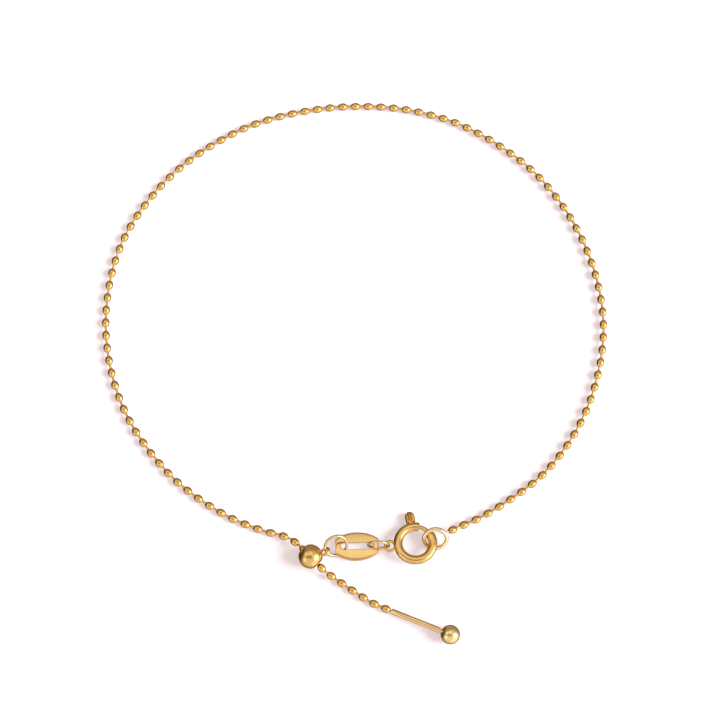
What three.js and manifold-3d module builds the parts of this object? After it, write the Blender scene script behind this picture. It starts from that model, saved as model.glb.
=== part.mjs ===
import * as THREE from "three";
import { mergeVertices } from "three/addons/utils/BufferGeometryUtils.js";
import Module from "manifold-3d";

// Adjustable bead-chain bracelet, fastened and lying flat, in millimetres with +Z up.
// The chain's fixed end carries a ring in a spring ring clasp. The other end runs through
// a slider ball and on as a short tail, which a needle bar and a stop ball finish.

const TURN = Math.PI / 180;

// Chain: oval beads on a thin wire
const LOOP_BEADS = 104;
const TAIL_BEADS = 9;
const TAIL_PITCH = 1.58;
const BEAD_LENGTH = 1.34;
const BEAD_RADIUS = 0.5;
const BEAD_SIDES = 10;
const SHOULDER_SHARE = 0.6;
const WIRE_RADIUS = 0.15;
const WIRE_SIDES = 5;
const PIN_LENGTH = 0.7;
const PIN_REACH = 0.74;
const RECESS_RADIUS = 0.24;
const RECESS_DEPTH = 0.42;
const RECESS_RIM = 0.07;

// Loop of the chain about its middle, resting on the table
const LOOP_CENTRE_Y = 5.0;
const LOOP_HEIGHT = 0.5;
const LOOP_REACH = [
  { bearing: -56, reach: 29.6 },
  { bearing: -38, reach: 30.75 },
  { bearing: -20, reach: 31.45 },
  { bearing: 0, reach: 31.9 },
  { bearing: 20, reach: 31.75 },
  { bearing: 40, reach: 31.5 },
  { bearing: 60, reach: 31.0 },
  { bearing: 75, reach: 30.6 },
  { bearing: 90, reach: 30.25 },
  { bearing: 105, reach: 30.35 },
  { bearing: 120, reach: 30.9 },
  { bearing: 140, reach: 31.7 },
  { bearing: 160, reach: 32.35 },
  { bearing: 180, reach: 32.1 },
  { bearing: 200, reach: 31.45 },
  { bearing: 220, reach: 30.45 },
  { bearing: 236, reach: 29.6 },
  { bearing: 247, reach: 29.05 },
];
const FIRST_BEAD = { x: 12.12, y: -21.68, z: 1.15 };
const SECOND_BEAD = { x: 13.62, y: -20.95, z: 0.62 };

// Slider ball with a bore for the chain and a soldered eye
const SLIDER = { x: -5.53, y: -25.08, z: 1.5 };
const SLIDER_RADIUS = 1.5;
const SLIDER_BORE = 0.72;
const SLIDER_BEARING = -45;
const SLIDER_EYE = { x: 1.77, y: 0.68, z: -0.39, radius: 0.56, wire: 0.15, tiltX: -39.2, tiltY: -29 };
const SLIDER_THROAT = 1.2;
const CHAIN_SAG = 0.08;

// Climb of the chain to the slider, and the tail behind it
const CLIMB = [
  { x: -9.3, y: -22.25, z: 0.56 },
  { x: -7.62, y: -23.12, z: 1.05 },
];
const TAIL = [
  { x: -4.02, y: -26.6, z: 1.2 },
  { x: -2.95, y: -27.4, z: 0.82 },
  { x: -1.74, y: -28.2, z: 0.55 },
  { x: 0.86, y: -29.93, z: 0.5 },
  { x: 2.24, y: -30.74, z: 0.5 },
];

// Needle bar and stop ball at the end of the tail
const BAR_START = { x: 4.47, y: -31.69, z: 0.56 };
const STOP = { x: 11.65, y: -34.65, z: 1.2 };
const STOP_RADIUS = 1.2;
const BAR_RADIUS = 0.35;
const BAR_SIDES = 10;
const BAR_BORE = 0.22;
const BAR_BORE_DEPTH = 1.0;
const STUD_RADIUS = 0.2;
const STUD_NECK = 0.2;
const STUD_DEPTH = 0.74;
const STUD_CLEARANCE = 0.06;

// Spring ring clasp, tilted a little with its near side up
const CLASP = { x: 7.47, y: -23.37, z: 1.14 };
const CLASP_TILT = -9;
const CLASP_RADIUS = 2.16;
const CLASP_TUBE = 0.55;
const CLASP_CHANNEL = 0.36;
const MOUTH_FROM = 40;
const MOUTH_TO = 78;
const CHANNEL_END = 166;
const SOCKET_END = 32;
const LEVER_BEARING = 101;
const LEVER_SWING = 42;
const LEVER_SLOT_SPARE = 8;
const LEVER_SLOT_WIDTH = 0.52;
const LEVER_SLOT_DEPTH = 0.4;
const MOUTH_OVERCUT = 4;
const CLASP_EYE_BEARING = 186.7;
const CLASP_EYE_REACH = 3.15;
const CLASP_EYE_RADIUS = 0.62;
const CLASP_EYE_WIRE = 0.18;

// Trigger: a curved bolt with a ribbed lever on a stem
const BOLT_RADIUS = 0.27;
const BOLT_TIP = 36;
const BOLT_TAIL = 112;
const STEM_WIDTH = 0.5;
const STEM_HEIGHT = 0.36;
const LEVER_FROM = 2.79;
const LEVER_TO = 4.13;
const LEVER_WIDTH = 1.19;
const LEVER_HEIGHT = 0.86;
const RIB_DEPTH = 0.1;
const RIB_EDGE_SHARE = 0.6;
const LEVER_ROOT = 0.3;

// Slotted tag
const TAG = { x: 0.22, y: -23.66, z: 0.72 };
const TAG_LENGTH = 5.38;
const TAG_WIDTH = 3.68;
const TAG_END_WIDTH = 1.8;
const TAG_FULLNESS = 0.45;
const TAG_THICKNESS = 0.25;
const TAG_SLOT_LENGTH = 4.1;
const TAG_SLOT_WIDTH = 0.86;
const TAG_TILT = -8;
const TAG_BEARING = 2;

// Rings that link the fittings: middle, wire and tilts
const RINGS = {
  end_ring: { x: 9.95, y: -22.83, z: 1.24, radius: 1.41, wire: 0.25, tiltX: 42, tiltY: 0.3 },
  link_ring: { x: 2.89, y: -23.64, z: 1.46, radius: 1.27, wire: 0.16, tiltX: 80.8, tiltY: -1.8 },
  slider_ring: { x: -2.38, y: -23.7, z: 1.21, radius: 1.4, wire: 0.19, tiltX: 41.6, tiltY: 16.2 },
};
const RING_SIDES = 16;
const RING_WIRE_SIDES = 6;
const EYE_SIDES = 12;
const STUB_BEARING = 38;
const STUB_RADIUS = 0.13;
const STUB_END_GAP = 0.1;

// Fineness of the round forms
const ROUTE_STEPS = 6000;
const CLASP_SIDES = 10;
const CLASP_STEPS = 28;
const CHANNEL_SIDES = 8;
const CHANNEL_STEPS = 9;
const SOCKET_STEPS = 2;
const SLOT_STEPS = 6;
const BOLT_STEPS = 8;
const BALL_SIDES = 14;
const BALL_STEPS = 9;
const OUTLINE_STEPS = 8;
const WELD = 1e-4;

const GOLD = 0xd9ae62;
const UP = new THREE.Vector3(0, 0, 1);

const wasm = await Module();
wasm.setup();

function point(row) {
  return new THREE.Vector3(row.x, row.y, row.z);
}

// A closed geometry as a solid that can be joined and cut
function solid(geometry) {
  const bare = new THREE.BufferGeometry();
  const loose = geometry.index ? geometry.toNonIndexed() : geometry;
  bare.setAttribute("position", loose.getAttribute("position"));
  const merged = mergeVertices(bare, WELD);
  return new wasm.Manifold(
    new wasm.Mesh({
      numProp: 3,
      vertProperties: merged.attributes.position.array,
      triVerts: new Uint32Array(merged.index.array),
    }),
  );
}

function geometryOf(body) {
  const mesh = body.getMesh();
  const geometry = new THREE.BufferGeometry();
  geometry.setAttribute("position", new THREE.BufferAttribute(mesh.vertProperties.slice(), 3));
  geometry.setIndex(new THREE.BufferAttribute(mesh.triVerts.slice(), 1));
  return geometry;
}

// One round section of a swept body, square to its axis
function section(centre, axis, radius, sides) {
  const side = new THREE.Vector3().crossVectors(UP, axis).normalize();
  const top = new THREE.Vector3().crossVectors(axis, side);
  const rim = [];
  for (let k = 0; k < sides; k += 1) {
    const angle = (k / sides) * 2 * Math.PI;
    const out = side.clone().multiplyScalar(Math.cos(angle) * radius);
    out.addScaledVector(top, Math.sin(angle) * radius);
    rim.push(centre.clone().add(out));
  }
  return { centre, rim };
}

// A body swept through sections, each with as many sides as the last, half or twice as many
function sweep(sections) {
  const corners = [];
  const faces = [];
  const first = [];
  for (const { rim } of sections) {
    first.push(corners.length);
    corners.push(...rim);
  }
  for (let i = 0; i + 1 < sections.length; i += 1) {
    const n = sections[i].rim.length;
    const m = sections[i + 1].rim.length;
    const a = (k) => first[i] + (k % n);
    const b = (k) => first[i + 1] + (k % m);
    for (let k = 0; k < Math.min(n, m); k += 1) {
      if (n === m) {
        faces.push(a(k), a(k + 1), b(k), a(k + 1), b(k + 1), b(k));
      } else if (m > n) {
        faces.push(a(k), b(2 * k + 1), b(2 * k), a(k), a(k + 1), b(2 * k + 1));
        faces.push(a(k + 1), b(2 * k + 2), b(2 * k + 1));
      } else {
        faces.push(a(2 * k), a(2 * k + 1), b(k), a(2 * k + 1), b(k + 1), b(k));
        faces.push(a(2 * k + 1), a(2 * k + 2), b(k + 1));
      }
    }
  }
  const ends = [0, sections.length - 1];
  for (const end of ends) {
    const n = sections[end].rim.length;
    const hub = corners.length;
    corners.push(sections[end].centre);
    for (let k = 0; k < n; k += 1) {
      const here = first[end] + k;
      const next = first[end] + ((k + 1) % n);
      faces.push(hub, end === 0 ? next : here, end === 0 ? here : next);
    }
  }
  return new THREE.BufferGeometry().setFromPoints(corners).setIndex(faces);
}

// A round rod bent about the clasp's middle
function arcRod(radius, from, to, sides, steps) {
  const sections = [];
  for (let i = 0; i <= steps; i += 1) {
    const angle = (from + ((to - from) * i) / steps) * TURN;
    const centre = new THREE.Vector3(Math.cos(angle), Math.sin(angle), 0);
    const axis = new THREE.Vector3(-Math.sin(angle), Math.cos(angle), 0);
    sections.push(section(centre.multiplyScalar(CLASP_RADIUS), axis, radius, sides));
  }
  return sweep(sections);
}

// A turned geometry moved so that its own +Y lies along an axis
function turnedAlong(geometry, start, axis) {
  const turn = new THREE.Quaternion().setFromUnitVectors(new THREE.Vector3(0, 1, 0), axis);
  return geometry.applyQuaternion(turn).translate(start.x, start.y, start.z);
}

function arcProfile(radius, from, to, steps) {
  const profile = [];
  for (let i = 0; i <= steps; i += 1) {
    const angle = (from + ((to - from) * i) / steps) * TURN;
    profile.push(new THREE.Vector2(Math.cos(angle) * radius, Math.sin(angle) * radius));
  }
  return profile;
}

// Route of the chain from the end ring to the needle bar
const barStart = point(BAR_START);
const barAxis = point(STOP).sub(barStart).normalize();
const boreAxis = new THREE.Vector3(
  Math.cos(SLIDER_BEARING * TURN),
  Math.sin(SLIDER_BEARING * TURN),
  0,
);

function ringTurn(ring) {
  return new THREE.Euler(ring.tiltX * TURN, ring.tiltY * TURN, 0, "XYZ");
}

function ringPoint(ring, bearing) {
  const spoke = new THREE.Vector3(Math.cos(bearing * TURN), Math.sin(bearing * TURN), 0);
  return spoke.multiplyScalar(ring.radius).applyEuler(ringTurn(ring)).add(point(ring));
}

const stubRoot = ringPoint(RINGS.end_ring, STUB_BEARING);

function chainRoute() {
  const stops = [stubRoot, point(FIRST_BEAD), point(SECOND_BEAD)];
  for (const { bearing, reach } of LOOP_REACH) {
    const x = reach * Math.cos(bearing * TURN);
    const y = LOOP_CENTRE_Y + reach * Math.sin(bearing * TURN);
    stops.push(new THREE.Vector3(x, y, LOOP_HEIGHT));
  }
  stops.push(...CLIMB.map(point));
  for (const along of [-SLIDER_THROAT, 0, SLIDER_THROAT]) {
    const through = point(SLIDER).addScaledVector(boreAxis, along);
    through.z -= CHAIN_SAG;
    stops.push(through);
  }
  stops.push(...TAIL.map(point));
  stops.push(barStart.clone().addScaledVector(barAxis, -PIN_REACH));
  stops.push(barStart.clone());
  stops.push(barStart.clone().addScaledVector(barAxis, PIN_LENGTH));
  const route = new THREE.CatmullRomCurve3(stops, false, "centripetal");
  route.arcLengthDivisions = ROUTE_STEPS;
  return route;
}

// Places of the beads along the route: evenly round the loop, closer along the tail
function beadPlaces(firstAt, lastAt) {
  const loopEnd = lastAt - TAIL_BEADS * TAIL_PITCH;
  const places = [];
  for (let i = 0; i < LOOP_BEADS; i += 1) {
    places.push(firstAt + ((loopEnd - firstAt) * i) / (LOOP_BEADS - 1));
  }
  for (let i = 1; i <= TAIL_BEADS; i += 1) {
    places.push(loopEnd + i * TAIL_PITCH);
  }
  return places;
}

function beadChain() {
  const route = chainRoute();
  const length = route.getLength();
  const firstAt = stubRoot.distanceTo(point(FIRST_BEAD));
  const lastAt = length - PIN_LENGTH - PIN_REACH;
  const half = BEAD_LENGTH / 2;
  const shoulder = half * SHOULDER_SHARE;
  const shoulderRadius = BEAD_RADIUS * Math.sqrt(1 - SHOULDER_SHARE * SHOULDER_SHARE);
  const collar = half * Math.sqrt(1 - (WIRE_RADIUS / BEAD_RADIUS) ** 2);
  const sections = [];
  for (const at of beadPlaces(firstAt, lastAt)) {
    const centre = route.getPointAt(at / length);
    const axis = route.getTangentAt(at / length);
    const ring = (offset, radius, sides) =>
      sections.push(section(centre.clone().addScaledVector(axis, offset), axis, radius, sides));
    if (at === firstAt) {
      ring(RECESS_DEPTH - collar, RECESS_RADIUS, WIRE_SIDES);
      ring(-collar, RECESS_RADIUS, WIRE_SIDES);
      ring(-collar, RECESS_RADIUS + RECESS_RIM, WIRE_SIDES);
    } else {
      ring(-collar, WIRE_RADIUS, WIRE_SIDES);
    }
    ring(-shoulder, shoulderRadius, BEAD_SIDES);
    ring(0, BEAD_RADIUS, BEAD_SIDES);
    ring(shoulder, shoulderRadius, BEAD_SIDES);
    ring(collar, WIRE_RADIUS, WIRE_SIDES);
  }
  const pinEnd = barStart.clone().addScaledVector(barAxis, PIN_LENGTH);
  sections.push(section(pinEnd, barAxis, WIRE_RADIUS, WIRE_SIDES));
  return sweep(sections);
}

function wireRing(ring, sides = RING_SIDES) {
  const torus = new THREE.TorusGeometry(ring.radius, ring.wire, RING_WIRE_SIDES, sides);
  torus.applyQuaternion(new THREE.Quaternion().setFromEuler(ringTurn(ring)));
  return torus.translate(ring.x, ring.y, ring.z);
}

// End ring with the short wire that is soldered to it and sits in the first bead
function endRing() {
  const route = chainRoute();
  const length = route.getLength();
  const at = stubRoot.distanceTo(point(FIRST_BEAD));
  const axis = route.getTangentAt(at / length);
  const seat = point(FIRST_BEAD).addScaledVector(axis, -BEAD_LENGTH / 2 + RECESS_DEPTH - STUB_END_GAP);
  const lean = seat.clone().sub(stubRoot).normalize();
  const stub = sweep([
    section(stubRoot, lean, STUB_RADIUS, RING_WIRE_SIDES),
    section(seat, lean, STUB_RADIUS, RING_WIRE_SIDES),
  ]);
  return geometryOf(solid(wireRing(RINGS.end_ring)).add(solid(stub)));
}

// Body of the clasp about its own middle, its ring in the XY plane
function claspBody() {
  const tube = solid(arcRod(CLASP_TUBE, MOUTH_TO, 360 + MOUTH_FROM, CLASP_SIDES, CLASP_STEPS));
  const eye = new THREE.TorusGeometry(CLASP_EYE_RADIUS, CLASP_EYE_WIRE, RING_WIRE_SIDES, EYE_SIDES);
  const eyeAngle = CLASP_EYE_BEARING * TURN;
  eye.rotateZ(eyeAngle);
  eye.translate(CLASP_EYE_REACH * Math.cos(eyeAngle), CLASP_EYE_REACH * Math.sin(eyeAngle), 0);
  const channelFrom = MOUTH_TO - MOUTH_OVERCUT;
  const socketTo = MOUTH_FROM + MOUTH_OVERCUT;
  const channel = solid(arcRod(CLASP_CHANNEL, channelFrom, CHANNEL_END, CHANNEL_SIDES, CHANNEL_STEPS));
  const socket = solid(arcRod(CLASP_CHANNEL, SOCKET_END, socketTo, CHANNEL_SIDES, SOCKET_STEPS));
  const slotFrom = (LEVER_BEARING - LEVER_SLOT_SPARE) * TURN;
  const slotTo = (LEVER_BEARING + LEVER_SWING + LEVER_SLOT_SPARE) * TURN;
  const sector = new THREE.Shape();
  sector.absarc(0, 0, CLASP_RADIUS + 2 * CLASP_TUBE, slotFrom, slotTo, false);
  sector.absarc(0, 0, CLASP_RADIUS + CLASP_TUBE - LEVER_SLOT_DEPTH, slotTo, slotFrom, true);
  sector.closePath();
  const slot = new THREE.ExtrudeGeometry(sector, {
    depth: LEVER_SLOT_WIDTH,
    bevelEnabled: false,
    curveSegments: SLOT_STEPS,
  });
  slot.translate(0, 0, -LEVER_SLOT_WIDTH / 2);
  return tube.add(solid(eye)).subtract(channel).subtract(socket).subtract(solid(slot));
}

// Lever pointing along +Y from the clasp's middle, ribbed lengthwise on both faces
function lever() {
  const half = LEVER_WIDTH / 2;
  const third = half / 3;
  const tall = LEVER_HEIGHT / 2;
  const low = tall - RIB_DEPTH;
  const rib = new THREE.Shape();
  rib.moveTo(-half, -low * RIB_EDGE_SHARE);
  rib.lineTo(-2 * third, -tall);
  rib.lineTo(-third, -low);
  rib.lineTo(0, -tall);
  rib.lineTo(third, -low);
  rib.lineTo(2 * third, -tall);
  rib.lineTo(half, -low * RIB_EDGE_SHARE);
  rib.lineTo(half, low * RIB_EDGE_SHARE);
  rib.lineTo(2 * third, tall);
  rib.lineTo(third, low);
  rib.lineTo(0, tall);
  rib.lineTo(-third, low);
  rib.lineTo(-2 * third, tall);
  rib.lineTo(-half, low * RIB_EDGE_SHARE);
  rib.closePath();
  const long = LEVER_TO - LEVER_FROM;
  const bar = new THREE.ExtrudeGeometry(rib, { depth: long, bevelEnabled: false });
  bar.rotateX(-Math.PI / 2);
  bar.translate(0, LEVER_FROM, 0);
  const outline = new THREE.Shape();
  outline.moveTo(-half, LEVER_FROM - RIB_DEPTH);
  outline.lineTo(half, LEVER_FROM - RIB_DEPTH);
  outline.absarc(0, LEVER_TO - half, half, 0, Math.PI, false);
  outline.closePath();
  const round = new THREE.ExtrudeGeometry(outline, {
    depth: 2 * LEVER_HEIGHT,
    bevelEnabled: false,
    curveSegments: OUTLINE_STEPS,
  });
  round.translate(0, 0, -LEVER_HEIGHT);
  const stemLength = LEVER_FROM + LEVER_ROOT - CLASP_RADIUS;
  const stem = new THREE.BoxGeometry(STEM_WIDTH, stemLength, STEM_HEIGHT);
  stem.translate(0, CLASP_RADIUS + stemLength / 2, 0);
  return solid(bar).intersect(solid(round)).add(solid(stem));
}

function trigger() {
  const bolt = solid(arcRod(BOLT_RADIUS, BOLT_TIP, BOLT_TAIL, CHANNEL_SIDES, BOLT_STEPS));
  return bolt.add(lever().rotate([0, 0, LEVER_BEARING - 90]));
}

function inClasp(body) {
  const geometry = geometryOf(body);
  geometry.rotateX(CLASP_TILT * TURN);
  return geometry.translate(CLASP.x, CLASP.y, CLASP.z);
}

function tag() {
  const end = TAG_END_WIDTH / 2;
  const far = TAG_LENGTH / 2;
  const outline = new THREE.Shape();
  const bulge = (2 * TAG_WIDTH - end) / 3;
  const shoulder = far * TAG_FULLNESS;
  outline.moveTo(-far, -end);
  outline.bezierCurveTo(-shoulder, -bulge, shoulder, -bulge, far, -end);
  outline.lineTo(far, end);
  outline.bezierCurveTo(shoulder, bulge, -shoulder, bulge, -far, end);
  outline.closePath();
  const round = TAG_SLOT_WIDTH / 2;
  const run = TAG_SLOT_LENGTH / 2 - round;
  const slot = new THREE.Path();
  slot.absarc(run, 0, round, -Math.PI / 2, Math.PI / 2, false);
  slot.absarc(-run, 0, round, Math.PI / 2, (3 * Math.PI) / 2, false);
  slot.closePath();
  outline.holes.push(slot);
  const plate = new THREE.ExtrudeGeometry(outline, {
    depth: TAG_THICKNESS,
    bevelEnabled: false,
    curveSegments: OUTLINE_STEPS,
  });
  plate.translate(0, 0, -TAG_THICKNESS / 2);
  plate.rotateX(TAG_TILT * TURN);
  plate.rotateZ(TAG_BEARING * TURN);
  return plate.translate(TAG.x, TAG.y, TAG.z);
}

function sliderBall() {
  const lip = Math.asin(SLIDER_BORE / SLIDER_RADIUS) / TURN;
  const profile = arcProfile(SLIDER_RADIUS, lip - 90, 90 - lip, BALL_STEPS);
  profile.push(profile[0].clone());
  const ball = turnedAlong(new THREE.LatheGeometry(profile, BALL_SIDES), point(SLIDER), boreAxis);
  const eye = wireRing(SLIDER_EYE, EYE_SIDES).translate(SLIDER.x, SLIDER.y, SLIDER.z);
  const bore = new THREE.CylinderGeometry(SLIDER_BORE, SLIDER_BORE, 4 * SLIDER_RADIUS, BALL_SIDES);
  const clear = solid(turnedAlong(bore, point(SLIDER), boreAxis));
  return geometryOf(solid(ball).add(solid(eye).subtract(clear)));
}

// Needle bar, bored for the chain's pin, with a stud for the stop ball
function needleBar() {
  const run = point(STOP).distanceTo(barStart) - STOP_RADIUS - STUD_NECK;
  const tip = run + STUD_NECK + STUD_DEPTH;
  const profile = [
    new THREE.Vector2(0, BAR_BORE_DEPTH),
    new THREE.Vector2(BAR_BORE, BAR_BORE_DEPTH),
    new THREE.Vector2(BAR_BORE, 0),
    new THREE.Vector2(BAR_RADIUS, 0),
    new THREE.Vector2(BAR_RADIUS, run),
    new THREE.Vector2(STUD_RADIUS, run),
    new THREE.Vector2(STUD_RADIUS, tip),
    new THREE.Vector2(0, tip),
  ];
  return turnedAlong(new THREE.LatheGeometry(profile, BAR_SIDES), barStart, barAxis);
}

function stopBall() {
  const hole = STUD_RADIUS + STUD_CLEARANCE;
  const lip = Math.asin(hole / STOP_RADIUS) / TURN;
  const floor = STUD_DEPTH + STUD_CLEARANCE - STOP_RADIUS;
  const arc = arcProfile(STOP_RADIUS, lip - 90, 90, BALL_STEPS);
  arc[arc.length - 1].x = 0;
  const profile = [new THREE.Vector2(0, floor), new THREE.Vector2(hole, floor), ...arc];
  return turnedAlong(new THREE.LatheGeometry(profile, BALL_SIDES), point(STOP), barAxis);
}

const bracelet = new THREE.Group();

function add(name, geometry) {
  const gold = new THREE.MeshStandardMaterial({ color: GOLD, metalness: 1, roughness: 0.2 });
  geometry.computeVertexNormals();
  const mesh = new THREE.Mesh(geometry, gold);
  mesh.name = name;
  bracelet.add(mesh);
}

add("bead_chain", beadChain());
add("end_ring", endRing());
add("clasp_body", inClasp(claspBody()));
add("clasp_trigger", inClasp(trigger()));
add("link_ring", wireRing(RINGS.link_ring));
add("tag", tag());
add("slider_ring", wireRing(RINGS.slider_ring));
add("slider_ball", sliderBall());
add("needle_bar", needleBar());
add("stop_ball", stopBall());

export default bracelet;
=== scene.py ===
"""Looks of an adjustable gold bead-chain bracelet, fastened and lying on a pale surface.

Every piece is a fine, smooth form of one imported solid, in the solids' own frame. Lengths are in
millimetres and angles in degrees, and each mesh is turned into metres as it is made.
"""

import math
from collections import namedtuple

import bpy
import numpy as np
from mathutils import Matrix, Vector


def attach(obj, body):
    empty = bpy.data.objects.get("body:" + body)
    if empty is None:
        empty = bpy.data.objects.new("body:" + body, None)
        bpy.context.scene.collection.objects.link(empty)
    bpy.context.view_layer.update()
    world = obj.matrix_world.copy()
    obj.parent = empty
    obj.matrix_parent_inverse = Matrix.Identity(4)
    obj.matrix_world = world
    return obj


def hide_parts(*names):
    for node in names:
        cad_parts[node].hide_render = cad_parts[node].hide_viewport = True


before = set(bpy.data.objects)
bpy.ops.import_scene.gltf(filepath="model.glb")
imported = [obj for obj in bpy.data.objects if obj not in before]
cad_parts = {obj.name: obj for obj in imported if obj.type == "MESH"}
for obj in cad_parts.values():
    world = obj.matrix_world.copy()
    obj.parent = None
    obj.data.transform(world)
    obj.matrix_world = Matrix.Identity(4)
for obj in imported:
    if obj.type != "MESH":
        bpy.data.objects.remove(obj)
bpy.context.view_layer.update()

MM = 0.001

# Chain: oval beads on a thin wire, along the solid chain's route
LOOP_BEADS = 104
TAIL_BEADS = 9
TAIL_PITCH = 1.58
BEAD_LENGTH = 1.34
BEAD_RADIUS = 0.49
BEAD_TAPER = 1.25  # exponent, 1 for an ellipse
BEAD_SIDES = 20
BEAD_RINGS = 13
WIRE_RADIUS = 0.15
COLLAR_RADIUS = 0.18
PIN_LENGTH = 0.7
PIN_REACH = 0.74

# Route: the loop's reach from its middle at each bearing, and the stops before and after the loop
LOOP_CENTRE_Y = 5.0
LOOP_HEIGHT = 0.5
LOOP_REACH = {
    -56: 29.6, -38: 30.75, -20: 31.45, 0: 31.9, 20: 31.75, 40: 31.5,
    60: 31.0, 75: 30.6, 90: 30.25, 105: 30.35, 120: 30.9, 140: 31.7,
    160: 32.35, 180: 32.1, 200: 31.45, 220: 30.45, 236: 29.6, 247: 29.05,
}
FIRST_BEAD = (12.12, -21.68, 1.15)
SECOND_BEAD = (13.62, -20.95, 0.62)
CLIMB = [(-9.3, -22.25, 0.56), (-7.62, -23.12, 1.05)]
TAIL = [
    (-4.02, -26.6, 1.2), (-2.95, -27.4, 0.82), (-1.74, -28.2, 0.55),
    (0.86, -29.93, 0.5), (2.24, -30.74, 0.5),
]

# Slider ball, with the sink and bevel of its bore's lip as shares of the lip
SLIDER = (-5.53, -25.08, 1.5)
SLIDER_RADIUS = 1.5
SLIDER_BORE = 0.72
SLIDER_LIP = 0.07
SLIDER_LIP_SINK = 0.6
SLIDER_LIP_BEVEL = 0.25
SLIDER_BEARING = -45
SLIDER_THROAT = 1.2
CHAIN_SAG = 0.08

# Needle bar and stop ball
BAR_START = (4.47, -31.69, 0.56)
STOP = (11.65, -34.65, 1.2)
STOP_RADIUS = 1.2
STOP_FAR_POLE = 179.5  # angle from the near pole at which the ball closes
BAR_RADIUS = 0.35
BAR_BORE = 0.22
BAR_BORE_DEPTH = 1.0
BAR_BORE_EDGE = 0.02
BAR_EDGE = 0.05
BAR_EDGE_MIDDLE = 0.3  # share of the edge left off at the middle of its rounding
STUD_RADIUS = 0.2
STUD_NECK = 0.2
STUD_DEPTH = 0.74
STUD_CLEARANCE = 0.06
CAP_RADIUS = 0.01  # closes a turned end or a hole's floor

# Spring ring clasp
CLASP = (7.47, -23.37, 1.14)
CLASP_TILT = -9
CLASP_RADIUS = 2.16
CLASP_TUBE = 0.55
CLASP_CHANNEL = 0.36
CLASP_EDGE = 0.05
EDGE_STOPS = (0.0, 0.35, 1.0)  # parts of the way over a rounded edge
MOUTH_FROM = 40
MOUTH_TO = 78
MOUTH_OVERCUT = 4
CHANNEL_END = 166
SOCKET_END = 32
LEVER_BEARING = 101
LEVER_SWING = 42
LEVER_SLOT_SPARE = 8
LEVER_SLOT_WIDTH = 0.52
LEVER_SLOT_DEPTH = 0.4
LEVER_SLOT_STEPS = 15
CLASP_EYE_BEARING = 186.7
CLASP_EYE_REACH = 3.15
CLASP_EYE_RADIUS = 0.62
CLASP_EYE_WIRE = 0.18

# Trigger: a bolt in the clasp's channel, a stem and a ribbed lever with a round tip
BOLT_RADIUS = 0.27
BOLT_TIP = 36
BOLT_TAIL = 112
BOLT_EDGE = 0.08
STEM_WIDTH = 0.5
STEM_HEIGHT = 0.36
LEVER_FROM = 2.79
LEVER_TO = 4.13
LEVER_WIDTH = 1.19
LEVER_HEIGHT = 0.86
LEVER_ROOT = 0.3
LEVER_EDGE = 0.06
LEVER_EDGE_STEPS = 7
LEVER_SQUARENESS = 0.55  # exponent, 1 for an ellipse
LEVER_TIP_SWEEP = 88
LEVER_TIP_STEPS = 22
LEVER_TIP_HEIGHT = 0.45  # share of the lever's height
LEVER_TIP_FALL = 0.7  # exponent
RIB_COUNT = 4
RIB_DEPTH = 0.11
RIB_FADE = 0.5  # exponent

# Tag
TAG = (0.22, -23.66, 0.72)
TAG_LENGTH = 5.38
TAG_WIDTH = 3.68
TAG_END_WIDTH = 1.8
TAG_FULLNESS = 0.45  # where the outline's shoulders lie, as a share of half the length
TAG_THICKNESS = 0.25
TAG_SLOT_LENGTH = 4.1
TAG_SLOT_WIDTH = 0.86
TAG_TILT = -8
TAG_BEARING = 2
TAG_BOW = 0.16
TAG_EDGE = 0.1
TAG_EDGE_STEPS = 5
TAG_ROLL = 0.07
TAG_ROLL_WIDTH = 0.26
TAG_SECTIONS = 220
TAG_SPANS = 18
TAG_SIDE_STEPS = 90
TAG_SLOT_STEPS = 40
OUTLINE_STEPS = 4000

# Rings and the slider's eye
Ring = namedtuple("Ring", "middle radius wire tilt_x tilt_y")
RINGS = {
    "end_ring": Ring((9.95, -22.83, 1.24), 1.41, 0.25, 42.0, 0.3),
    "link_ring": Ring((2.89, -23.64, 1.46), 1.27, 0.16, 80.8, -1.8),
    "slider_ring": Ring((-2.38, -23.7, 1.21), 1.4, 0.19, 41.6, 16.2),
    "slider_eye": Ring((-3.76, -24.4, 1.11), 0.56, 0.15, -39.2, -29.0),
}

# Stub on the end ring, and the recess in the first bead that takes it
STUB_BEARING = 38
STUB_RADIUS = 0.13
STUB_END_GAP = 0.1
RECESS_DEPTH = 0.42
RECESS_RADIUS = 0.24
RECESS_FLOOR_RADIUS = 0.02
RECESS_LIP = 0.04
RECESS_LIP_DROP = 0.01

# Crease angles: edges sharper than these stay sharp in the shading
CREASE = 40
CUT_CREASE = 35
CHAIN_CREASE = 38
TAG_CREASE = 45

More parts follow.
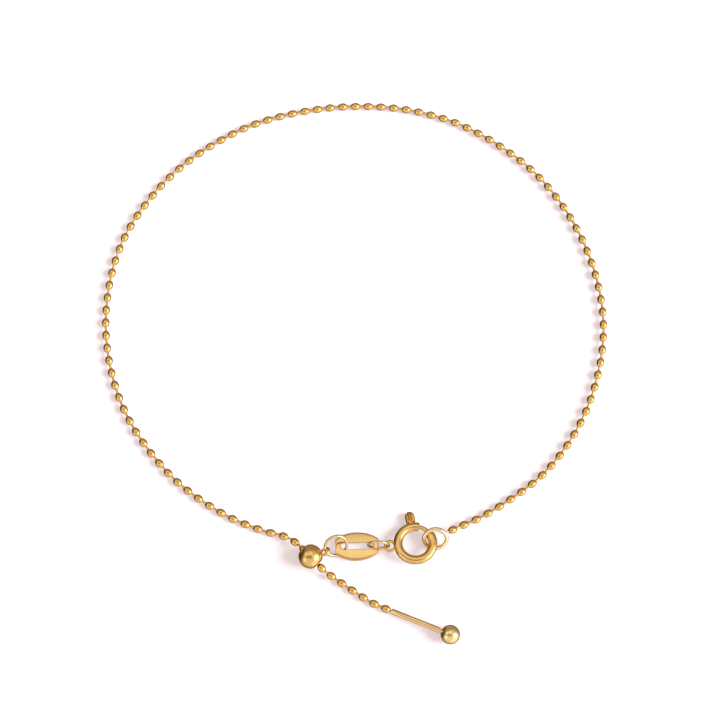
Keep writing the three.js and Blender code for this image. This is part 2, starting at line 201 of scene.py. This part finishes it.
# Gold: light and dark tone, roughness and strength of the handling marks
GOLDS = {
    "gold_beads": ((0.9, 0.56, 0.19), (0.86, 0.51, 0.16), 0.08, 0.06),
    # Paler, less saturated copy of the gold for the end ring: a painted highlight
    "gold_wire": ((1.0, 0.84, 0.56), (0.98, 0.8, 0.5), 0.1, 0.06),
    # Paler, less saturated copy of the gold for the link and slider rings: a painted highlight
    "gold_link_painted_highlight": ((0.88, 0.69, 0.42), (0.84, 0.64, 0.37), 0.1, 0.06),
    "gold_sheet": ((0.95, 0.64, 0.26), (0.92, 0.6, 0.23), 0.16, 0.03),
    # Lighter copy of the gold for the stop ball: painted light, so it looks more brightly lit
    "gold_stop_painted_light": ((1.0, 0.75, 0.37), (0.97, 0.71, 0.33), 0.1, 0.06),
    "gold_bar": ((0.99, 0.69, 0.33), (0.95, 0.64, 0.28), 0.12, 0.06),
    # Darker, more saturated copy of the gold for the clasp and trigger: painted shade for darker outlines
    "gold_clasp_painted_shade": ((0.92, 0.58, 0.21), (0.87, 0.53, 0.18), 0.09, 0.06),
    "gold_fittings": ((0.93, 0.61, 0.24), (0.89, 0.56, 0.21), 0.1, 0.08),
}
TONES_PER_METRE = 900
TONE_DETAIL = 3
TONE_LEVELS = (0.35, 0.65)
MARKS_PER_METRE = 4200
MARK_DETAIL = 5
MARK_LEVELS = (0.3, 0.7)
MARK_HEIGHT = 0.02
GLOSS_SPREAD = (0.75, 1.3)

# Camera: the photograph's angle, framing and perspective
VIEW_ELEVATION = 75
VIEW_DISTANCE = 230
VIEW_TARGET = (0.59, 0.49, 0.0)
VIEW_NEAREST = 10
PIXELS_PER_MM = 7.8
FRAME_PIXELS = 720
SENSOR_WIDTH = 36

# Floor
FLOOR_HALF = 400
FLOOR_COLOUR = (0.34, 0.32, 0.34)
FLOOR_GLOW = (0.53, 0.45, 0.45)
FLOOR_ROUGHNESS = 0.8
FLOOR_SPECULAR = 0.1

# Surroundings: azimuth from +X towards +Y, elevation, and the radii where a patch is full and gone
DOME = (-80, 42, 45, 126, 0.34, 0.86)  # then its outer and inner brightness
PANELS = {  # then what each adds
    "right_box": (-15, 27, 9, 31, 2.2),
    "right_ground": (-38, -10, 12, 58, 0.4),
    "left_far": (158, 48, 6, 18, 0.42),
    "left_near": (214, 20, 6, 20, 0.5),
    "back_top": (90, 64, 6, 24, 0.26),
}
SHADES = {  # then the share of light that each keeps
    "left_ground": (162, -15, 22, 50, 0.25),
    "overhead": (-90, 75, 6, 22, 0.5),
    "left_gap": (205, 62, 6, 20, 0.5),
    "ground": (0, -90, 40, 88, 0.75),
}
DIM_TINT = (1.0, 0.8, 0.5)
BRIGHT_TINT = (1.0, 0.98, 0.95)
TINT_LEVELS = (0.1, 0.9)

# Key lamp
KEY_HEADING = (-4, 31)
KEY_SOFTNESS = 38
KEY_STRENGTH = 10.0


def point(values):
    return np.array(values, float)


def turn_x(degrees):
    c, s = math.cos(math.radians(degrees)), math.sin(math.radians(degrees))
    return np.array([[1, 0, 0], [0, c, -s], [0, s, c]])


def turn_y(degrees):
    c, s = math.cos(math.radians(degrees)), math.sin(math.radians(degrees))
    return np.array([[c, 0, s], [0, 1, 0], [-s, 0, c]])


def turn_z(degrees):
    c, s = math.cos(math.radians(degrees)), math.sin(math.radians(degrees))
    return np.array([[c, -s, 0], [s, c, 0], [0, 0, 1]])


def unit(v):
    return v / np.linalg.norm(v)


def spoke(bearing, reach=1.0):
    """Point at a bearing from +X towards +Y, in the XY plane."""
    a = math.radians(bearing)
    return np.array([math.cos(a), math.sin(a), 0]) * reach


def rounding(part):
    """Share of a rounded edge's radius still missing at a part of the way over the edge."""
    return 1 - math.sqrt(1 - (1 - part) ** 2)


def section(centre, axis, radius, sides):
    """A round section square to an axis."""
    side = unit(np.cross([0, 0, 1], axis))
    top = np.cross(axis, side)
    a = np.linspace(0, 2 * math.pi, sides, endpoint=False)[:, None]
    return centre + radius * (np.cos(a) * side + np.sin(a) * top)


def mesh_object(name, corners, faces, crease=CREASE):
    """A smooth mesh from corners in millimetres, with edges sharper than the crease angle kept."""
    mesh = bpy.data.meshes.new(name)
    mesh.from_pydata((np.asarray(corners) * MM).tolist(), [], faces)
    mesh.validate()
    mesh.shade_smooth()
    mesh.set_sharp_from_angle(angle=math.radians(crease))
    piece = bpy.data.objects.new(name, mesh)
    bpy.context.scene.collection.objects.link(piece)
    return piece


def loft(sections, closed=False):
    """Corners and faces of a body through sections of equal count, capped at its ends unless closed."""
    n = len(sections[0])
    rows = len(sections)
    faces = []
    for i in range(rows if closed else rows - 1):
        here, there = i * n, ((i + 1) % rows) * n
        for k in range(n):
            after = (k + 1) % n
            faces.append((here + k, here + after, there + after, there + k))
    if not closed:
        faces.append(tuple(range(n - 1, -1, -1)))
        faces.append(tuple(range((rows - 1) * n, rows * n)))
    return np.vstack(sections), faces


def torus(radius, wire, turns=72, sides=20):
    """A ring about +Z, as sections closed on themselves."""
    sections = []
    for i in range(turns):
        bearing = 360 * i / turns
        sections.append(section(spoke(bearing, radius), spoke(bearing + 90), wire, sides))
    return loft(sections, closed=True)


def lathe(profile, start, axis, sides, closed=False):
    """A turned body: rows of distance along the axis and radius."""
    sections = [section(start + axis * along, axis, radius, sides) for along, radius in profile]
    return loft(sections, closed)


def arc_rod(radius, start, end, sides, steps, edge=0.0):
    """A round rod bent about the clasp's middle, its end edges eased by a small radius."""
    rows = {start + (end - start) * i / steps: radius for i in range(steps + 1)}
    if edge:
        ease = math.degrees(edge / CLASP_RADIUS)
        for part in EDGE_STOPS:
            eased = radius - edge * rounding(part)
            rows[start + ease * part] = eased
            rows[end - ease * part] = eased
    bearings = sorted(rows)
    return loft([section(spoke(b, CLASP_RADIUS), spoke(b + 90), rows[b], sides) for b in bearings])


def boolean(piece, tools, operation):
    """Joins or cuts solids, applies the result and removes the tools."""
    for tool in tools:
        step = piece.modifiers.new("step", "BOOLEAN")
        step.operation = operation
        step.object = tool
        step.solver = "EXACT"
    graph = bpy.context.evaluated_depsgraph_get()
    made = bpy.data.meshes.new_from_object(piece.evaluated_get(graph))
    piece.modifiers.clear()
    piece.data = made
    made.shade_smooth()
    made.set_sharp_from_angle(angle=math.radians(CUT_CREASE))
    for tool in tools:
        bpy.data.objects.remove(tool)
    return piece


def moved(shape, turn=np.eye(3), place=(0, 0, 0)):
    """A shape turned about the origin and then put in its place."""
    corners, faces = shape
    return corners @ np.asarray(turn).T + np.asarray(place, float), faces


def distances(points):
    """Distance of each point along the line through all of them."""
    steps = np.linalg.norm(np.diff(points, axis=0), axis=1)
    return np.concatenate([[0], np.cumsum(steps)])


def smooth_route(stops, per_span=240):
    """Centripetal curve through the stops, as close points with their distance along it."""
    stops = np.array(stops)
    first = 2 * stops[0] - stops[1]
    last = 2 * stops[-1] - stops[-2]
    padded = np.vstack([first, stops, last])
    w = np.linspace(0, 1, per_span, endpoint=False)[:, None]
    points = []
    for p0, p1, p2, p3 in zip(padded, padded[1:], padded[2:], padded[3:]):
        d0, d1, d2 = (math.sqrt(np.linalg.norm(b - a)) for a, b in ((p0, p1), (p1, p2), (p2, p3)))
        t1 = ((p1 - p0) / d0 - (p2 - p0) / (d0 + d1) + (p2 - p1) / d1) * d1
        t2 = ((p2 - p1) / d1 - (p3 - p1) / (d1 + d2) + (p3 - p2) / d2) * d1
        c2 = 3 * (p2 - p1) - 2 * t1 - t2
        c3 = 2 * (p1 - p2) + t1 + t2
        points.append(p1 + t1 * w + c2 * w**2 + c3 * w**3)
    points = np.vstack(points + [stops[-1:]])
    return points, distances(points)


def ring_turn(ring):
    """Turn of a ring from lying flat to its tilts."""
    return turn_x(ring.tilt_x) @ turn_y(ring.tilt_y)


def wire_ring(name):
    """A named ring in its place."""
    ring = RINGS[name]
    return moved(torus(ring.radius, ring.wire), ring_turn(ring), ring.middle)


# Places and directions that several pieces share
bar_start = point(BAR_START)
bar_axis = unit(point(STOP) - bar_start)
bore_axis = spoke(SLIDER_BEARING)
held_ring = RINGS["end_ring"]
stub_root = ring_turn(held_ring) @ spoke(STUB_BEARING, held_ring.radius) + point(held_ring.middle)
first_bead_at = float(np.linalg.norm(point(FIRST_BEAD) - stub_root))


def chain_route():
    """The chain's middle line: from the end ring round the loop, through the slider and into the bar."""
    stops = [stub_root, point(FIRST_BEAD), point(SECOND_BEAD)]
    for bearing, reach in LOOP_REACH.items():
        stops.append(spoke(bearing, reach) + [0, LOOP_CENTRE_Y, LOOP_HEIGHT])
    stops += [point(p) for p in CLIMB]
    for along in (-SLIDER_THROAT, 0, SLIDER_THROAT):
        stops.append(point(SLIDER) + bore_axis * along - [0, 0, CHAIN_SAG])
    stops += [point(p) for p in TAIL]
    stops += [bar_start - bar_axis * PIN_REACH, bar_start, bar_start + bar_axis * PIN_LENGTH]
    return smooth_route(stops)


def route_at(points, along, distance):
    """Point and direction of the route at a distance along it."""
    step = 0.02
    here = np.array([np.interp(distance, along, points[:, i]) for i in range(3)])
    ahead = np.array([np.interp(distance + step, along, points[:, i]) for i in range(3)])
    behind = np.array([np.interp(distance - step, along, points[:, i]) for i in range(3)])
    return here, unit(ahead - behind)


def bead_rows():
    """Offsets and radii of one bead from end to end."""
    half = BEAD_LENGTH / 2
    reach = math.acos((COLLAR_RADIUS / BEAD_RADIUS) ** (1 / BEAD_TAPER))
    rows = []
    for a in np.linspace(-reach, reach, BEAD_RINGS):
        rows.append((half * math.sin(a), BEAD_RADIUS * math.cos(a) ** BEAD_TAPER))
    return rows


def recess_rows(end):
    """Offsets and radii of the recess in the first bead's end, from its floor out to its lip."""
    floor = RECESS_DEPTH - end
    return [
        (floor, RECESS_FLOOR_RADIUS),
        (floor, RECESS_RADIUS),
        (-end, RECESS_RADIUS),
        (RECESS_LIP_DROP - end, RECESS_RADIUS + RECESS_LIP),
    ]


def bead_places(last):
    """Distances of the beads along the route: evenly round the loop, closer along the tail."""
    loop_end = last - TAIL_BEADS * TAIL_PITCH
    loop = np.linspace(first_bead_at, loop_end, LOOP_BEADS)
    tail = loop_end + TAIL_PITCH * np.arange(1, TAIL_BEADS + 1)
    return np.concatenate([loop, tail])


def bead_chain():
    """One skin over all beads and the wire between them, from the first bead's recess to the pin."""
    points, along = chain_route()
    rows = bead_rows()
    end = rows[-1][0]
    first_rows = recess_rows(end) + rows[1:]
    other_rows = [(-end, WIRE_RADIUS)] + rows
    sections = []
    for distance in bead_places(along[-1] - PIN_LENGTH - PIN_REACH):
        centre, axis = route_at(points, along, distance)
        rows_here = other_rows if sections else first_rows
        for offset, radius in rows_here + [(end, WIRE_RADIUS)]:
            sections.append(section(centre + axis * offset, axis, radius, BEAD_SIDES))
    pin_end = bar_start + bar_axis * PIN_LENGTH
    sections.append(section(pin_end, bar_axis, WIRE_RADIUS, BEAD_SIDES))
    return mesh_object("chain_beads", *loft(sections), crease=CHAIN_CREASE)


def end_ring():
    """Ring at the chain's fixed end, with a stub that reaches into the first bead."""
    points, along = chain_route()
    axis = route_at(points, along, first_bead_at)[1]
    seat = point(FIRST_BEAD) + axis * (RECESS_DEPTH - STUB_END_GAP - BEAD_LENGTH / 2)
    lean = unit(seat - stub_root)
    reach = float(np.linalg.norm(seat - stub_root))
    ring = mesh_object("end_ring_wire", *wire_ring("end_ring"))
    rows = [(0, STUB_RADIUS), (reach, STUB_RADIUS)]
    stub = mesh_object("stub", *lathe(rows, stub_root, lean, sides=18))
    return boolean(ring, [stub], "UNION")


def in_clasp(shape):
    """A shape about the clasp's middle, tilted with the clasp and put in its place."""
    return moved(shape, turn_x(CLASP_TILT), CLASP)


def lever_slot():
    """Sector that the lever's stem runs in, cut from the tube's outer side."""
    start = LEVER_BEARING - LEVER_SLOT_SPARE
    end = LEVER_BEARING + LEVER_SWING + LEVER_SLOT_SPARE
    inner = CLASP_RADIUS + CLASP_TUBE - LEVER_SLOT_DEPTH
    outer = CLASP_RADIUS + 2 * CLASP_TUBE
    half = LEVER_SLOT_WIDTH / 2
    corners = [(inner, half), (outer, half), (outer, -half), (inner, -half)]
    sections = []
    for bearing in np.linspace(start, end, LEVER_SLOT_STEPS):
        sections.append(np.array([spoke(bearing, r) + [0, 0, z] for r, z in corners]))
    return loft(sections)


def clasp_body():
    """Round tube with an eye, a mouth, a channel for the bolt, its socket and the lever's slot."""
    rod = arc_rod(CLASP_TUBE, MOUTH_TO, 360 + MOUTH_FROM, sides=40, steps=120, edge=CLASP_EDGE)
    tube = mesh_object("clasp_tube", *in_clasp(rod))
    eye_ring = torus(CLASP_EYE_RADIUS, CLASP_EYE_WIRE, turns=48, sides=18)
    eye_place = spoke(CLASP_EYE_BEARING, CLASP_EYE_REACH)
    eye = mesh_object("eye", *in_clasp(moved(eye_ring, place=eye_place)))
    boolean(tube, [eye], "UNION")
    channel_rod = arc_rod(CLASP_CHANNEL, MOUTH_TO - MOUTH_OVERCUT, CHANNEL_END, sides=24, steps=30)
    channel = mesh_object("channel", *in_clasp(channel_rod))
    socket_rod = arc_rod(CLASP_CHANNEL, SOCKET_END, MOUTH_FROM + MOUTH_OVERCUT, sides=24, steps=6)
    socket = mesh_object("socket", *in_clasp(socket_rod))
    slot = mesh_object("slot", *in_clasp(lever_slot()))
    return boolean(tube, [channel, socket, slot], "DIFFERENCE")


def lever_section(y, width, height, sides=72):
    """Section of the lever across its length: a rounded slab with ribs on both faces."""
    corners = []
    for a in np.linspace(0, -2 * math.pi, sides, endpoint=False):
        c, s = math.cos(a), math.sin(a)
        x = width * math.copysign(abs(c) ** LEVER_SQUARENESS, c)
        z = height * math.copysign(abs(s) ** LEVER_SQUARENESS, s)
        valley = 0.5 + 0.5 * math.cos(2 * math.pi * RIB_COUNT * (x / LEVER_WIDTH + 0.5))
        corners.append((x, y, z * (1 - RIB_DEPTH / height * valley * abs(s) ** RIB_FADE)))
    return np.array(corners)


def lever():
    """Lever along +Y: an eased root, then a tip that rounds off in width and falls in height."""
    half = LEVER_WIDTH / 2
    tall = LEVER_HEIGHT / 2
    sections = []
    for part in np.linspace(0, 1, LEVER_EDGE_STEPS):
        ease = LEVER_EDGE * rounding(part)
        sections.append(lever_section(LEVER_FROM + LEVER_EDGE * part, half - ease, tall - ease))
    for a in np.radians(np.linspace(0, LEVER_TIP_SWEEP, LEVER_TIP_STEPS)):
        c, s = math.cos(a), math.sin(a)
        height = tall * (LEVER_TIP_HEIGHT + (1 - LEVER_TIP_HEIGHT) * c**LEVER_TIP_FALL)
        sections.append(lever_section(LEVER_TO - half + half * s, half * c, height))
    return loft(sections)


def trigger():
    """Bolt, stem and lever as one piece."""
    turn = turn_z(LEVER_BEARING - 90)
    rod = arc_rod(BOLT_RADIUS, BOLT_TIP, BOLT_TAIL, sides=28, steps=36, edge=BOLT_EDGE)
    bolt = mesh_object("clasp_bolt", *in_clasp(rod))
    knob = mesh_object("knob", *in_clasp(moved(lever(), turn)))
    w, h = STEM_WIDTH / 2, STEM_HEIGHT / 2
    sections = []
    for y in (CLASP_RADIUS, LEVER_FROM + LEVER_ROOT):
        sections.append(np.array([(-w, y, -h), (-w, y, h), (w, y, h), (w, y, -h)]))
    stem = mesh_object("stem", *in_clasp(moved(loft(sections), turn)))
    return boolean(bolt, [stem, knob], "UNION")


def even_steps(loop, start):
    """A closed outline resampled by even lengths, beginning at the point nearest to start."""
    along = distances(loop)
    fine = np.linspace(0, along[-1], OUTLINE_STEPS, endpoint=False)
    dense = np.c_[np.interp(fine, along, loop[:, 0]), np.interp(fine, along, loop[:, 1])]
    nearest = int(np.argmin(np.linalg.norm(dense - start, axis=1)))
    dense = np.roll(dense, -nearest, axis=0)
    return dense[(np.arange(TAG_SECTIONS) * OUTLINE_STEPS) // TAG_SECTIONS]


def tag_outline():
    """Barrel outline of the tag: a Bezier curve along each long side, and straight ends."""
    end = TAG_END_WIDTH / 2
    far = TAG_LENGTH / 2
    bulge = (2 * TAG_WIDTH - end) / 3  # lets the middle of the curve reach half the width
    shoulder = far * TAG_FULLNESS
    t = np.linspace(0, 1, TAG_SIDE_STEPS)[:, None]
    nodes = [np.array(p) for p in ((far, end), (shoulder, bulge), (-shoulder, bulge), (-far, end))]
    upper = (1 - t) ** 3 * nodes[0] + 3 * (1 - t) ** 2 * t * nodes[1]
    upper = upper + 3 * (1 - t) * t**2 * nodes[2] + t**3 * nodes[3]
    loop = np.vstack([upper, -upper, upper[:1]])
    return even_steps(loop, np.array([far, 0.0]))


def slot_outline():
    """Outline of the tag's slot: two half rounds joined by straight sides."""
    end_radius = TAG_SLOT_WIDTH / 2
    run = TAG_SLOT_LENGTH / 2 - end_radius
    a = np.linspace(-math.pi / 2, math.pi / 2, TAG_SLOT_STEPS)
    right = np.c_[run + end_radius * np.cos(a), end_radius * np.sin(a)]
    loop = np.vstack([right, -right, right[:1]])
    return even_steps(loop, np.array([run + end_radius, 0.0]))


def plate_profile(reach):
    """Distances and heights round the plate's section from slot to outline, its edges eased."""
    half = TAG_THICKNESS / 2
    turn = np.linspace(0, math.pi / 2, TAG_EDGE_STEPS)
    rim = [(TAG_EDGE * (1 - math.sin(a)), half - TAG_EDGE * (1 - math.cos(a))) for a in turn]
    top = rim[::-1]
    top += [(reach * k / TAG_SPANS, half) for k in range(1, TAG_SPANS)]
    top += [(reach - inset, z) for inset, z in rim]
    return top + [(x, -z) for x, z in reversed(top)]


def plate_drop(y, inset):
    """How far the plate falls: a bow down to its long sides, and a rolled rim within its outline."""
    bow = TAG_BOW * (abs(y) / (TAG_WIDTH / 2)) ** 2
    return bow + TAG_ROLL * max(0, 1 - inset / TAG_ROLL_WIDTH) ** 2


def tag():
    """Slotted plate: a closed band from the slot's edge to the outline."""
    sections = []
    for inner, outer in zip(slot_outline(), tag_outline()):
        reach = np.linalg.norm(outer - inner)
        way = (outer - inner) / reach
        ring = []
        for along, z in plate_profile(reach):
            x, y = inner + way * along
            ring.append((x, y, z - plate_drop(y, reach - along)))
        sections.append(np.array(ring))
    turn = turn_z(TAG_BEARING) @ turn_x(TAG_TILT)
    return mesh_object("tag_plate", *moved(loft(sections, closed=True), turn, TAG), crease=TAG_CREASE)


def ball_rows(radius, start, end, steps):
    """Turned rows of a ball between two angles from its pole."""
    rows = []
    for a in np.radians(np.linspace(start, end, steps)):
        rows.append((-radius * math.cos(a), radius * math.sin(a)))
    return rows


def slider_ball():
    """Ball with a bore for the chain, a bevelled lip at each mouth and a soldered eye."""
    mouth = math.degrees(math.asin((SLIDER_BORE + SLIDER_LIP) / SLIDER_RADIUS))
    rows = ball_rows(SLIDER_RADIUS, mouth, 180 - mouth, steps=40)
    depth = -rows[0][0] - SLIDER_LIP * SLIDER_LIP_SINK
    bevel = SLIDER_LIP * SLIDER_LIP_BEVEL
    rows += [(depth + bevel, SLIDER_BORE + bevel), (depth, SLIDER_BORE)]
    rows += [(-depth, SLIDER_BORE), (-depth - bevel, SLIDER_BORE + bevel)]
    shell = lathe(rows, point(SLIDER), bore_axis, sides=72, closed=True)
    ball = mesh_object("slider_shell", *shell)
    eye = mesh_object("eye", *wire_ring("slider_eye"))
    return boolean(ball, [eye], "UNION")


def needle_bar():
    """Straight bar with a bore for the chain's pin and a stud that goes into the stop ball."""
    run = float(np.linalg.norm(point(STOP) - bar_start)) - STOP_RADIUS - STUD_NECK
    tip = run + STUD_NECK + STUD_DEPTH
    middle = BAR_EDGE * BAR_EDGE_MIDDLE
    rows = [
        (BAR_BORE_DEPTH, CAP_RADIUS),
        (BAR_BORE_DEPTH, BAR_BORE),
        (BAR_BORE_EDGE, BAR_BORE),
        (0, BAR_BORE + BAR_BORE_EDGE),
        (0, BAR_RADIUS - BAR_EDGE),
        (middle, BAR_RADIUS - middle),
        (BAR_EDGE, BAR_RADIUS),
        (run - BAR_EDGE, BAR_RADIUS),
        (run - middle, BAR_RADIUS - middle),
        (run, BAR_RADIUS - BAR_EDGE),
        (run, STUD_RADIUS),
        (tip, STUD_RADIUS),
        (tip, CAP_RADIUS),
    ]
    return mesh_object("needle_rod", *lathe(rows, bar_start, bar_axis, sides=36))


def stop_ball():
    """Ball with a hole for the bar's stud."""
    hole = STUD_RADIUS + STUD_CLEARANCE
    mouth = math.degrees(math.asin(hole / STOP_RADIUS))
    floor = STUD_DEPTH + STUD_CLEARANCE - STOP_RADIUS
    rows = [(floor, CAP_RADIUS), (floor, hole)]
    rows += ball_rows(STOP_RADIUS, mouth, STOP_FAR_POLE, steps=44)
    return mesh_object("stop_bead", *lathe(rows, point(STOP), bar_axis, sides=64))


def noise(tree, scale, detail):
    """Fine noise in the piece's own frame."""
    place = tree.nodes.new("ShaderNodeTexCoord")
    field = tree.nodes.new("ShaderNodeTexNoise")
    field.inputs["Scale"].default_value = scale
    field.inputs["Detail"].default_value = detail
    tree.links.new(place.outputs["Object"], field.inputs["Vector"])
    return field.outputs["Fac"]


def two_tone(tree, factor, levels, colours):
    """A colour that runs from the first to the second as the factor runs between two levels."""
    ramp = tree.nodes.new("ShaderNodeValToRGB")
    for element, level, colour in zip(ramp.color_ramp.elements, levels, colours):
        element.position = level
        element.color = (*colour, 1)
    tree.links.new(factor, ramp.inputs["Fac"])
    return ramp.outputs["Color"]


def spread(tree, factor, levels, results):
    """A value that runs from the first to the second result as the factor runs between two levels."""
    node = tree.nodes.new("ShaderNodeMapRange")
    node.inputs["From Min"].default_value, node.inputs["From Max"].default_value = levels
    node.inputs["To Min"].default_value, node.inputs["To Max"].default_value = results
    tree.links.new(factor, node.inputs["Value"])
    return node


def gold(name, light, dark, roughness, scratch):
    """Polished gold with faint tone changes, handling marks in its gloss and a soft unevenness."""
    material = bpy.data.materials.new(name)
    material.use_nodes = True
    tree = material.node_tree
    shader = tree.nodes["Principled BSDF"]
    shader.inputs["Metallic"].default_value = 1.0

    tone = two_tone(tree, noise(tree, TONES_PER_METRE, TONE_DETAIL), TONE_LEVELS, (dark, light))
    tree.links.new(tone, shader.inputs["Base Color"])

    marks = noise(tree, MARKS_PER_METRE, MARK_DETAIL)
    gloss = spread(tree, marks, MARK_LEVELS, [roughness * share for share in GLOSS_SPREAD])
    tree.links.new(gloss.outputs["Result"], shader.inputs["Roughness"])

    bump = tree.nodes.new("ShaderNodeBump")
    bump.inputs["Strength"].default_value = scratch
    bump.inputs["Distance"].default_value = MARK_HEIGHT * MM
    tree.links.new(marks, bump.inputs["Height"])
    tree.links.new(bump.outputs["Normal"], shader.inputs["Normal"])
    return material


def dress(piece, material, node, body):
    """Gives a piece its material, hangs it on the body it rides on and hides the imported solid it stands
    for.
    """
    piece.data.materials.clear()
    piece.data.materials.append(material)
    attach(piece, body)
    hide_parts(node)


def make_pieces():
    """Makes every piece and dresses it in its gold."""
    golds = {name: gold(name, *look) for name, look in GOLDS.items()}
    dress(bead_chain(), golds["gold_beads"], "bead_chain", "bracelet")
    dress(end_ring(), golds["gold_wire"], "end_ring", "bracelet")
    dress(clasp_body(), golds["gold_clasp_painted_shade"], "clasp_body", "bracelet")
    dress(trigger(), golds["gold_clasp_painted_shade"], "clasp_trigger", "trigger")
    for node in ("link_ring", "slider_ring"):
        ring = mesh_object(node + "_wire", *wire_ring(node))
        dress(ring, golds["gold_link_painted_highlight"], node, "bracelet")
    dress(tag(), golds["gold_sheet"], "tag", "bracelet")
    dress(slider_ball(), golds["gold_fittings"], "slider_ball", "bracelet")
    dress(needle_bar(), golds["gold_bar"], "needle_bar", "bracelet")
    dress(stop_ball(), golds["gold_stop_painted_light"], "stop_ball", "bracelet")


def make_floor():
    """A pale surface that glows faintly, so that it stays white and its shadows stay soft."""
    h = FLOOR_HALF
    floor = mesh_object("floor", [(-h, -h, 0), (h, -h, 0), (h, h, 0), (-h, h, 0)], [(0, 1, 2, 3)])
    material = bpy.data.materials.new("pale_surface")
    material.use_nodes = True
    shader = material.node_tree.nodes["Principled BSDF"]
    shader.inputs["Base Color"].default_value = (*FLOOR_COLOUR, 1)
    shader.inputs["Roughness"].default_value = FLOOR_ROUGHNESS
    shader.inputs["Specular IOR Level"].default_value = FLOOR_SPECULAR
    shader.inputs["Emission Color"].default_value = (*FLOOR_GLOW, 1)
    shader.inputs["Emission Strength"].default_value = 1.0
    floor.data.materials.append(material)
    floor.visible_glossy = False


def heading(azimuth, elevation):
    """Direction from an azimuth, counted from +X towards +Y, and an elevation."""
    lift = math.radians(elevation)
    return Vector(spoke(azimuth, math.cos(lift))) + Vector((0, 0, math.sin(lift)))


def sky_patch(tree, azimuth, elevation, heart, rim, low, high):
    """A soft patch of the surroundings: high within heart degrees of its middle, low past rim degrees."""
    place = tree.nodes.new("ShaderNodeTexCoord")
    facing = tree.nodes.new("ShaderNodeVectorMath")
    facing.operation = "DOT_PRODUCT"
    facing.inputs[1].default_value = heading(azimuth, elevation)
    tree.links.new(place.outputs["Generated"], facing.inputs[0])
    levels = [math.cos(math.radians(angle)) for angle in (rim, heart)]
    patch = spread(tree, facing.outputs["Value"], levels, (low, high))
    patch.interpolation_type = "SMOOTHSTEP"
    return patch.outputs["Result"]


def combined(tree, a, b, operation):
    """Two values added or multiplied by a node."""
    node = tree.nodes.new("ShaderNodeMath")
    node.operation = operation
    tree.links.new(a, node.inputs[0])
    tree.links.new(b, node.inputs[1])
    return node.outputs["Value"]


def make_tent():
    """A soft tent of light: panels add to the dome, and shades keep only a share of it."""
    world = bpy.data.worlds.new("tent")
    world.use_nodes = True
    bpy.context.scene.world = world
    tree = world.node_tree
    light = sky_patch(tree, *DOME)
    for azimuth, elevation, heart, rim, gain in PANELS.values():
        light = combined(tree, light, sky_patch(tree, azimuth, elevation, heart, rim, 0, gain), "ADD")
    for azimuth, elevation, heart, rim, share in SHADES.values():
        light = combined(tree, light, sky_patch(tree, azimuth, elevation, heart, rim, 1, share), "MULTIPLY")
    tint = two_tone(tree, light, TINT_LEVELS, (DIM_TINT, BRIGHT_TINT))
    background = tree.nodes["Background"]
    tree.links.new(tint, background.inputs["Color"])
    tree.links.new(light, background.inputs["Strength"])


def make_key():
    """The lamp on the right that whitens the surface and throws the soft shadows to the left."""
    data = bpy.data.lights.new("key", "SUN")
    data.energy = KEY_STRENGTH
    data.angle = math.radians(KEY_SOFTNESS)
    key = bpy.data.objects.new("key", data)
    key.rotation_mode = "QUATERNION"
    key.rotation_quaternion = heading(*KEY_HEADING).to_track_quat("Z", "Y")
    key.visible_glossy = False
    bpy.context.scene.collection.objects.link(key)


def make_camera():
    """A camera in front of the bracelet, looking steeply down on it."""
    data = bpy.data.cameras.new("view")
    camera = bpy.data.objects.new("view", data)
    bpy.context.scene.collection.objects.link(camera)
    lift = math.radians(VIEW_ELEVATION)
    back = Vector((0, -math.cos(lift), math.sin(lift)))
    camera.location = (Vector(VIEW_TARGET) + back * VIEW_DISTANCE) * MM
    camera.rotation_mode = "QUATERNION"
    camera.rotation_quaternion = (-back).to_track_quat("-Z", "Y")
    data.sensor_width = SENSOR_WIDTH
    data.lens = SENSOR_WIDTH * PIXELS_PER_MM * VIEW_DISTANCE / FRAME_PIXELS
    data.clip_start = VIEW_NEAREST * MM
    bpy.context.scene.camera = camera


make_camera()
make_tent()
make_key()
make_floor()
make_pieces()
bpy.context.scene.view_settings.view_transform = "Standard"

bpy.context.view_layer.update()
